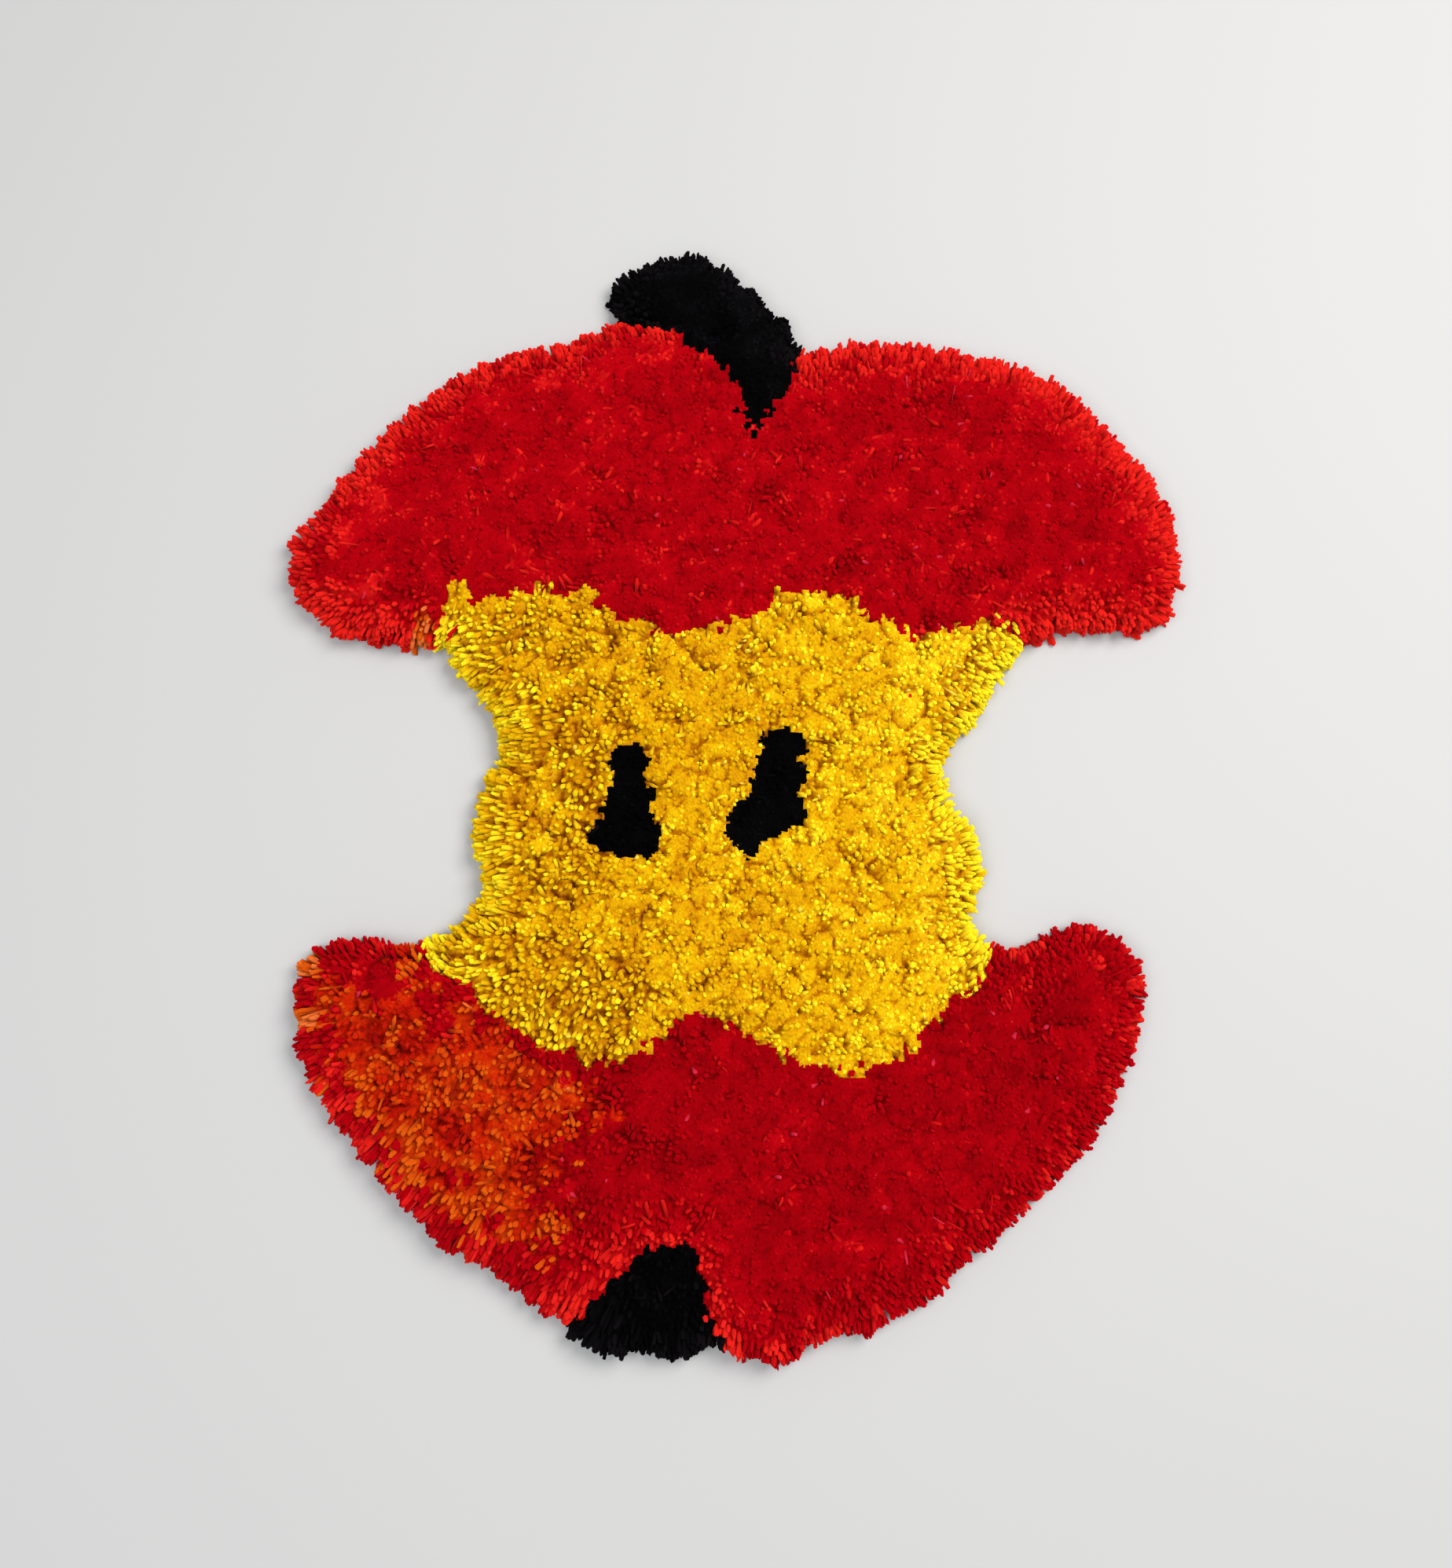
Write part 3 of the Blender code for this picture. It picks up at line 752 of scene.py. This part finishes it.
def strand_shape(strands, stops):
    """Vertices as (strand, ring and side, axis), with each strand's end centre last."""
    count = len(strands["tip"])
    stops = np.array(stops)
    radius = strands["radius"][:, None] * np.ones(len(stops))
    radius[:, 0] *= 0.8
    radius[:, -2] *= strands["bloom"]
    radius[:, -1] *= strands["bloom"] * strands["taper"]
    end_way, foot_way = strands["end_way"][:, None], strands["foot_way"][:, None]
    onward = unit(foot_way + (end_way - foot_way) * ((1 + stops) / 2)[None, :, None])
    middle = strands["tip"][:, None] - onward * ((1 - stops) * strands["free"][:, None])[..., None]
    middle[:, :, 2] = np.maximum(middle[:, :, 2], radius * LOWEST_SHARE)

    # Each ring is square to the strand: one axis in the plane of its lean, one level.
    tangent = unit(foot_way + (end_way - foot_way) * stops[None, :, None])
    level = unit(np.stack([-tangent[..., 1], tangent[..., 0], np.full(tangent.shape[:2], 1e-6)], axis=2))
    across = np.cross(level, tangent)
    turn = strands["phase"][:, None] + strands["twist"][:, None] * stops
    around = (turn[..., None] + 2 * math.pi * np.arange(SIDES) / SIDES)[..., None]
    wide = radius[..., None] * chance.uniform(0.78, 1.2, (count, len(stops), SIDES))
    spokes = np.cos(around) * across[:, :, None] + np.sin(around) * level[:, :, None]
    rings = middle[:, :, None] + wide[..., None] * spokes
    rings[:, -1] += tangent[:, -1, None] * chance.normal(0, 0.4 * MM, (count, SIDES, 1))
    rings[..., 2] = np.maximum(rings[..., 2], 0.1 * MM)
    centre = strands["tip"] - strands["end_way"] * strands["sink"][:, None]
    centre[:, 2] = np.maximum(centre[:, 2], 0.8 * MM)
    return np.concatenate([rings.reshape(count, -1, 3), centre[:, None]], axis=1)


def bed_cells(strands, field, relief):
    """The fused pile between the free ends: a jittered grid's corners, their heights, and its cells."""
    low, high = RIM.min(axis=0) - FIELD_MARGIN, RIM.max(axis=0) + FIELD_MARGIN
    columns, rows = (int(n) for n in (high - low) / BED_STEP)
    steps = grid_steps(columns, rows)
    points = low + steps * BED_STEP + chance.uniform(-BED_JITTER, BED_JITTER, steps.shape)
    depth = field.read(field.depth, points)
    top, depth_shade, tint = np.zeros((3, len(points)))
    tree = tree_of(strands["tip"][:, :2])
    stem = field.read(field.stem, points)
    deep = np.nonzero(depth > BED_RIM + (STEM_BED_RIM - BED_RIM) * stem)[0]
    around = np.array([[item[1] for item in tree.find_n((*point, 0), BED_ENDS)] for point in points[deep]])
    lift, groove, _, _, _ = relief.read(points[deep])
    lift *= RELIEF_OF[strands["area"][around[:, 0]]]
    lean = np.linalg.norm(field.read(field.lean, points[deep]), axis=1)
    leaning = smoothstep((lean - BED_LEAN_START) / BED_LEAN_SPAN)
    ground = strands["ground"][around].mean(axis=1)
    top[deep] = ground + lift + END_RISE - BED_DROP - BED_LEAN_DROP * leaning
    # Painted shade: the bed darkens into the grooves between tufts and clumps and where the pile leans, with
    # a little random mottling.
    depth_shade[deep] = 0.85 - 0.6 * groove - 0.3 * leaning + 0.08 * waves(points[deep], 2 * MM, 37)
    around_tint = np.minimum(strands["tint"][around], 0.8).mean(axis=1)
    # Painted shade: the bed is darker than the ends around it.
    tint[deep] = np.clip(around_tint - BED_SHADE + chance.normal(0, 0.05, len(deep)), 0, 0.8)
    foot = np.where(depth > field.read(field.reach, points) + CLOTH_INSET, CLOTH_THICK, BED_FOOT)
    quads = grid_quads(top > foot + MM, columns, rows)
    return {
        "corner": points,
        "foot": foot,
        "top": top,
        "depth_shade": depth_shade,
        "tint": tint,
        "quad": quads,
        "owner": nearest(points[quads].mean(axis=1), tree)[1],
    }


def walls_around(quads, count):
    """The upright faces around flat quads, from each edge of one quad alone to its copy count points on."""
    edges = set()
    for quad in quads.tolist():
        for start, end in zip(quad, quad[1:] + quad[:1], strict=True):
            if (end, start) in edges:
                edges.remove((end, start))
            else:
                edges.add((start, end))
    walls = [(start, end, end + count, start + count) for start, end in sorted(edges)]
    return np.array(walls, int).reshape(-1, 4)


def bed_part(bed, which):
    """A closed block of the bed's chosen cells: its points, faces, and each point's painted depth shade and
    tint.
    """
    quads = bed["quad"][which]
    used, quads = np.unique(quads, return_inverse=True)
    quads = quads.reshape(-1, 4)
    flat = bed["corner"][used]
    count = len(used)
    points = np.vstack([np.column_stack([flat, bed[height][used]]) for height in ("foot", "top")])
    faces = np.vstack([quads[:, ::-1], quads + count, walls_around(quads, count)])
    # Painted shade: the bed's foot and walls are darker than its top.
    depth_shades = np.concatenate([np.full(count, 0.2), bed["depth_shade"][used]])
    return points, faces, depth_shades, np.tile(bed["tint"][used], 2)


def strand_plan(rings):
    """One strand's faces: their corners, sizes, smoothness, and both of their maps."""
    tops = np.linspace(0.08, 0.8, rings)
    last = rings - 1
    faces = []
    for ring in range(last):
        for side in range(SIDES):
            spots = (ring, side), (ring, side + 1), (ring + 1, side + 1), (ring + 1, side)
            faces.append([(r * SIDES + s % SIDES, s / SIDES, r / last, tops[r]) for r, s in spots])
    for side in range(SIDES):
        rim = [(last * SIDES + s % SIDES, s / SIDES, 1, tops[-1]) for s in (side, side + 1)]
        faces.append([*rim, (rings * SIDES, (rim[0][1] + rim[1][1]) / 2, 1.08, 1)])
    foot = []
    for side in reversed(range(SIDES)):
        turn = 2 * math.pi * side / SIDES
        foot.append((side, 0.5 + 0.1 * math.cos(turn), 0, 0.035 + 0.03 * math.sin(turn)))
    faces.append(foot)
    corner, around, along, low = np.array([point for face in faces for point in face]).T
    sizes = np.array([len(face) for face in faces])
    yarn_map, bake_map = np.column_stack([around, along]), np.column_stack([around, low])
    return corner.astype(int), sizes, np.arange(len(faces)) < len(faces) - 1, yarn_map, bake_map


def picked(strands, which):
    return {key: value[which] for key, value in strands.items()}


def pile_piece(name, strands, bed, material):
    """The strands and their part of the bed as one mesh piece."""
    verts, corners, sizes, smooth, yarn_maps, bake_maps = [], [], [], [], [], []
    tints, depth_shades = [], []
    count = len(strands["tip"])
    grid = math.ceil(math.sqrt(count))
    first = 0
    cell = 0
    rim = strands["rim"]
    for group, stops in ((picked(strands, ~rim), INNER_STOPS), (picked(strands, rim), RIM_STOPS)):
        many = len(group["tip"])
        if not many:
            continue
        shape = strand_shape(group, stops)
        per = shape.shape[1]
        corner, size, shaded, yarn_map, bake_map = strand_plan(len(stops))
        verts.append(shape.reshape(-1, 3))
        corners.append((corner + first + per * np.arange(many)[:, None]).ravel())
        sizes.append(np.tile(size, many))
        smooth.append(np.tile(shaded, many))
        drift = chance.uniform(0, 50, (many, 1, 2))
        yarn_maps.append((yarn_map + drift).reshape(-1, 2))
        cells = np.arange(cell, cell + many)
        place = np.stack([cells % grid, cells // grid], axis=1)[:, None]
        spot = ((place + 0.04 + 0.92 * bake_map) / grid).reshape(-1, 2)
        bake_maps.append(spot * (1, 1 - BED_SHARE))
        tints.append(np.repeat(group["tint"], per))
        # Painted shade along each strand, from dark at its root to full colour at its end.
        depth_shades.append(np.tile(np.append(np.repeat(stops, SIDES), 1.0), many))
        first += per * many
        cell += many
    points, faces, depth_shade, tint = bed
    across = math.ceil(math.sqrt(len(faces) / BED_SHARE))
    place = np.stack([np.arange(len(faces)) % across, np.arange(len(faces)) // across], axis=1)[:, None]
    square = np.array([(0.1, 0.1), (0.9, 0.1), (0.9, 0.9), (0.1, 0.9)])
    verts.append(points)
    corners.append(faces.ravel() + first)
    sizes.append(np.full(len(faces), 4))
    smooth.append(np.full(len(faces), True))
    yarn_maps.append((points[faces][..., :2] / BED_GRAIN).reshape(-1, 2))
    bake_maps.append(((place + square) / across).reshape(-1, 2) + (0, 1 - BED_SHARE))
    tints.append(tint)
    depth_shades.append(depth_shade)
    verts, corners, sizes = np.vstack(verts), np.concatenate(corners), np.concatenate(sizes)
    mesh = bpy.data.meshes.new(name)
    mesh.vertices.add(len(verts))
    mesh.vertices.foreach_set("co", verts.ravel().astype(np.float32))
    mesh.loops.add(len(corners))
    mesh.loops.foreach_set("vertex_index", corners.astype(np.int32))
    mesh.polygons.add(len(sizes))
    mesh.polygons.foreach_set("loop_start", np.concatenate([[0], np.cumsum(sizes)[:-1]]).astype(np.int32))
    mesh.polygons.foreach_set("use_smooth", np.concatenate(smooth))
    for layer, maps in (("yarn", yarn_maps), ("OFBake", bake_maps)):
        uv = mesh.uv_layers.new(name=layer)
        uv.data.foreach_set("uv", np.vstack(maps).ravel().astype(np.float32))
    for layer, values in (("strand_tint", tints), ("root_to_tip", depth_shades)):
        attribute = mesh.attributes.new(layer, "FLOAT", "POINT")
        attribute.data.foreach_set("value", np.concatenate(values).astype(np.float32))
    mesh.update(calc_edges=True)
    mesh.materials.append(material)
    return placed(name, mesh)


def ramp(tree, value, stops):
    """A colour ramp node on a value. Each stop is a place and a grey or a colour."""
    node = tree.nodes.new("ShaderNodeValToRGB")
    tree.links.new(value, node.inputs["Fac"])
    elements = node.color_ramp.elements
    while len(elements) < len(stops):
        elements.new(0.5)
    for element, (place, colour) in zip(elements, stops, strict=True):
        element.position = place
        element.color = (colour,) * 3 + (1,) if isinstance(colour, (int, float)) else (*colour, 1)
    return node.outputs["Color"]


def multiplied(tree, first, second):
    node = tree.nodes.new("ShaderNodeMix")
    node.data_type = "RGBA"
    node.blend_type = "MULTIPLY"
    node.inputs["Factor"].default_value = 1
    tree.links.new(first, node.inputs["A"])
    tree.links.new(second, node.inputs["B"])
    return node.outputs["Result"]


def attribute_value(tree, name):
    node = tree.nodes.new("ShaderNodeAttribute")
    node.attribute_name = name
    return node.outputs["Fac"]


def new_material(name):
    material = bpy.data.materials.new(name)
    material.use_nodes = True
    tree = material.node_tree
    return material, tree, tree.nodes["Principled BSDF"]


def yarn_material(name, tints, painted_shade_ramp, grain, gloss, sheen, sheen_colour):
    """Spun yarn: a colour for each strand, with painted shade darkening it towards its root and into the
    bed's grooves, and fibres along it in colour and bump.
    """
    material, tree, shader = new_material(name)
    colour = ramp(tree, attribute_value(tree, "strand_tint"), tints)
    uv = tree.nodes.new("ShaderNodeUVMap")
    uv.uv_map = "yarn"
    stretch = tree.nodes.new("ShaderNodeMapping")
    stretch.inputs["Scale"].default_value = (24, 7, 1)
    tree.links.new(uv.outputs["UV"], stretch.inputs["Vector"])
    fibres = tree.nodes.new("ShaderNodeTexNoise")
    fibres.inputs["Scale"].default_value = 1
    fibres.inputs["Detail"].default_value = 2
    tree.links.new(stretch.outputs["Vector"], fibres.inputs["Vector"])
    colour = multiplied(tree, colour, ramp(tree, fibres.outputs["Fac"], ((0.3, grain), (0.7, 1.0))))
    # Painted shade: darker towards the roots of the strands and into the bed's grooves and walls.
    colour = multiplied(tree, colour, ramp(tree, attribute_value(tree, "root_to_tip"), painted_shade_ramp))
    tree.links.new(colour, shader.inputs["Base Color"])
    rough = ramp(tree, fibres.outputs["Fac"], ((0.3, 0.95), (0.7, 0.8)))
    tree.links.new(rough, shader.inputs["Roughness"])
    shader.inputs["Specular IOR Level"].default_value = gloss
    shader.inputs["Diffuse Roughness"].default_value = 0.8
    shader.inputs["Sheen Weight"].default_value = sheen
    shader.inputs["Sheen Roughness"].default_value = 0.45
    shader.inputs["Sheen Tint"].default_value = (*sheen_colour, 1)
    bump = tree.nodes.new("ShaderNodeBump")
    bump.inputs["Strength"].default_value = 0.5
    bump.inputs["Distance"].default_value = 0.3 * MM
    tree.links.new(fibres.outputs["Fac"], bump.inputs["Height"])
    tree.links.new(bump.outputs["Normal"], shader.inputs["Normal"])
    return material


STITCHES = {
    **dict.fromkeys(("stem", "calyx", "left_seed", "right_seed"), (0.004, 0.004, 0.005)),
    **dict.fromkeys(("cap", "base"), (0.45, 0.004, 0.006)),
    "core": (0.7, 0.36, 0.005),
    "patch": (0.55, 0.05, 0.004),
}


def cloth_piece(name):
    """The foundation cloth: a grid cut to the outline, with its outer points drawn to the cut edge."""
    low, high = RIM.min(axis=0), RIM.max(axis=0)
    columns = int((high[0] - low[0]) / CLOTH_STEP) + 2
    rows = int((high[1] - low[1]) / CLOTH_STEP) + 2
    grid = grid_steps(columns, rows) * CLOTH_STEP + low
    depth, which = nearest(grid, RIM_TREE)
    depth = np.where(area_of(grid) >= 0, depth, -depth) - CLOTH_INSET
    quads = grid_quads(depth > 0, columns, rows)
    uses = np.bincount(quads.ravel(), minlength=len(grid))
    edge = (uses > 0) & (uses < 4)
    ways = unit(RIM[which] - grid)
    grid[edge] += ways[edge] * np.minimum(depth[edge], CLOTH_STEP * 1.5)[:, None]
    used, quads = np.unique(quads, return_inverse=True)
    quads = quads.reshape(-1, 4)
    flat = grid[used]
    count = len(flat)
    verts = np.vstack([np.column_stack([flat, np.full(count, height)]) for height in (0, CLOTH_THICK)])
    faces = np.vstack([quads[:, ::-1], quads + count, walls_around(quads, count)])
    mesh = bpy.data.meshes.new(name)
    mesh.from_pydata(verts.tolist(), [], faces.tolist())
    mesh.update(calc_edges=True)
    colours = np.array([STITCHES[NAMES[index]] for index in area_of(flat)])
    stitches = mesh.attributes.new("stitch_colour", "FLOAT_COLOR", "POINT")
    shades = np.column_stack([np.vstack([colours] * 2), np.ones(count * 2)])
    stitches.data.foreach_set("color", shades.ravel())
    area = sum(face.area for face in mesh.polygons if face.normal.z > 0.5)
    return placed(name, mesh), flat.max(axis=0) - flat.min(axis=0), area


def cloth_material():
    """Unbleached cotton, covered by rows of flat stitches in the colour of the yarn that is rooted there."""
    material, tree, shader = new_material("foundation_cloth")
    coordinates = tree.nodes.new("ShaderNodeTexCoord")
    bricks = tree.nodes.new("ShaderNodeTexBrick")
    bricks.inputs["Scale"].default_value = 1 / MM
    bricks.inputs["Brick Width"].default_value = 3.75
    bricks.inputs["Row Height"].default_value = 3.25
    bricks.inputs["Mortar Size"].default_value = 0.35
    bricks.inputs["Mortar Smooth"].default_value = 0.7
    bricks.inputs["Color2"].default_value = (0.75, 0.75, 0.75, 1)
    bricks.inputs["Color1"].default_value = (1, 1, 1, 1)
    bricks.inputs["Mortar"].default_value = (0.45, 0.4, 0.35, 1)
    tree.links.new(coordinates.outputs["Object"], bricks.inputs["Vector"])
    yarn = tree.nodes.new("ShaderNodeAttribute")
    yarn.attribute_name = "stitch_colour"
    colour = multiplied(tree, yarn.outputs["Color"], bricks.outputs["Color"])
    tree.links.new(colour, shader.inputs["Base Color"])
    shader.inputs["Roughness"].default_value = 0.9
    bump = tree.nodes.new("ShaderNodeBump")
    bump.invert = True
    bump.inputs["Strength"].default_value = 0.8
    bump.inputs["Distance"].default_value = 0.5 * MM
    tree.links.new(bricks.outputs["Fac"], bump.inputs["Height"])
    tree.links.new(bump.outputs["Normal"], shader.inputs["Normal"])
    return material


# The last stop of each tint ramp is the flecks' colour, partly painted highlight.
RED = yarn_material(
    "red_yarn",
    (
        (0.05, (0.26, 0.0001, 0.0025)), (0.35, (0.34, 0.0002, 0.0033)), (0.6, (0.43, 0.0006, 0.0045)),
        (0.86, (0.72, 0.015, 0.01)), (1, (0.6, 0.018, 0.048)),
    ),
    ((0, (0.5, 0.4, 0.4)), (0.4, (0.8, 0.7, 0.7)), (0.8, (0.97, 0.94, 0.94)), (1, (1, 1, 1))),
    grain=0.76,
    gloss=0.01,
    sheen=0.02,
    sheen_colour=(1, 0.3, 0.25),
)
YELLOW = yarn_material(
    "yellow_yarn",
    (
        (0.05, (0.62, 0.27, 0.0005)), (0.35, (0.72, 0.38, 0.001)), (0.6, (0.8, 0.49, 0.001)),
        (0.86, (1, 0.81, 0.014)), (1, (1, 0.78, 0.06)),
    ),
    (
        (0, (0.3, 0.12, 0.03)), (0.3, (0.56, 0.31, 0.2)), (0.6, (0.85, 0.68, 0.6)),
        (0.85, (0.96, 0.92, 0.9)), (1, (1, 1, 1)),
    ),
    grain=0.6,
    gloss=0.03,
    sheen=0.02,
    sheen_colour=(1, 0.9, 0.4),
)
ORANGE = yarn_material(
    "orange_yarn",
    (
        (0.05, (0.32, 0.001, 0.001)), (0.35, (0.56, 0.012, 0.001)), (0.6, (0.61, 0.028, 0.001)),
        (0.87, (0.7, 0.1, 0.003)), (1, (0.78, 0.17, 0.03)),
    ),
    ((0, (0.4, 0.2, 0.2)), (0.4, (0.72, 0.5, 0.5)), (0.8, (0.95, 0.9, 0.9)), (1, (1, 1, 1))),
    grain=0.6,
    gloss=0.02,
    sheen=0.02,
    sheen_colour=(1, 0.7, 0.5),
)
BLACK = yarn_material(
    "black_yarn",
    (
        (0, (0.0003, 0.0002, 0.0004)), (0.5, (0.0005, 0.0004, 0.0007)), (0.8, (0.0025, 0.002, 0.0025)),
        (1, (0.01, 0.007, 0.009)),
    ),
    ((0, 0.4), (1, 1)),
    grain=0.7,
    gloss=0.025,
    sheen=0.0015,
    sheen_colour=(0.8, 0.8, 1),
)

field = PlanField()
relief = Relief()
strands, shows = grow_strands(field, relief)
bed = bed_cells(strands, field, relief)
area = np.array(NAMES)[strands["area"]]
x, y, _ = strands["tip"].T
PIECES = (
    ("stem_pile", area == "stem", BLACK, "black_yarn"),
    ("calyx_pile", area == "calyx", BLACK, "black_yarn"),
    ("left_seed_pile", area == "left_seed", BLACK, "black_yarn"),
    ("right_seed_pile", area == "right_seed", BLACK, "black_yarn"),
    ("cap_left_pile", (area == "cap") & (x < 10 * MM), RED, "red_yarn"),
    ("cap_right_pile", (area == "cap") & (x >= 10 * MM), RED, "red_yarn"),
    ("core_upper_pile", (area == "core") & (y >= -28 * MM), YELLOW, "yellow_yarn"),
    ("core_lower_pile", (area == "core") & (y < -28 * MM), YELLOW, "yellow_yarn"),
    ("base_left_pile", (area == "base") & (x < 10 * MM), RED, "red_yarn"),
    ("base_right_pile", (area == "base") & (x >= 10 * MM), RED, "red_yarn"),
    ("orange_patch_pile", area == "patch", ORANGE, "orange_yarn"),
)
for name, which, material, slot in PIECES:
    piece = pile_piece(name, picked(strands, which & shows), bed_part(bed, which[bed["owner"]]), material)
    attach(piece, "root")
    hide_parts(NODE)

cloth, cloth_size, cloth_area = cloth_piece("foundation_cloth")
cloth.data.materials.append(cloth_material())
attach(cloth, "root")
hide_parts(NODE)


def floor():
    mesh = bpy.data.meshes.new("floor")
    corners = [(x * FLOOR_HALF, y * FLOOR_HALF, 0) for x, y in ((-1, -1), (1, -1), (1, 1), (-1, 1))]
    mesh.from_pydata(corners, [], [(0, 1, 2, 3)])
    material, _, shader = new_material("pale_floor")
    shader.inputs["Base Color"].default_value = (0.42, 0.415, 0.41, 1)
    shader.inputs["Roughness"].default_value = 0.8
    mesh.materials.append(material)
    placed("floor", mesh)


def area_light(name, place, size, power, colour):
    light = bpy.data.lights.new(name, "AREA")
    light.shape = "SQUARE"
    light.size = size
    light.energy = power
    light.color = colour
    lamp = placed(name, light)
    lamp.location = place
    lamp.rotation_euler = (-Vector(place)).to_track_quat("-Z", "Y").to_euler()


def studio():
    floor()
    area_light("key", (1.2, 0.7, 1.9), 1.3, 64, (1, 0.985, 0.96))
    area_light("fill", (-0.7, -0.6, 2.2), 1.8, 38, (0.96, 0.98, 1))
    world = bpy.data.worlds.new("studio")
    world.use_nodes = True
    background = world.node_tree.nodes["Background"]
    background.inputs["Color"].default_value = (0.93, 0.96, 1, 1)
    background.inputs["Strength"].default_value = 0.45
    bpy.context.scene.world = world
    bpy.context.scene.view_settings.view_transform = "Standard"
    camera = bpy.data.cameras.new("camera")
    camera.lens = LENS
    camera.sensor_width = SENSOR
    holder = placed("camera", camera)
    target = Vector((*-DRAWN_MIDDLE, 0))
    back = Vector((0, -math.cos(CAMERA_ELEVATION), math.sin(CAMERA_ELEVATION)))
    holder.location = target + back * CAMERA_DISTANCE
    holder.rotation_euler = (-back).to_track_quat("-Z", "Y").to_euler()
    bpy.context.scene.camera = holder


studio()
bpy.context.view_layer.update()
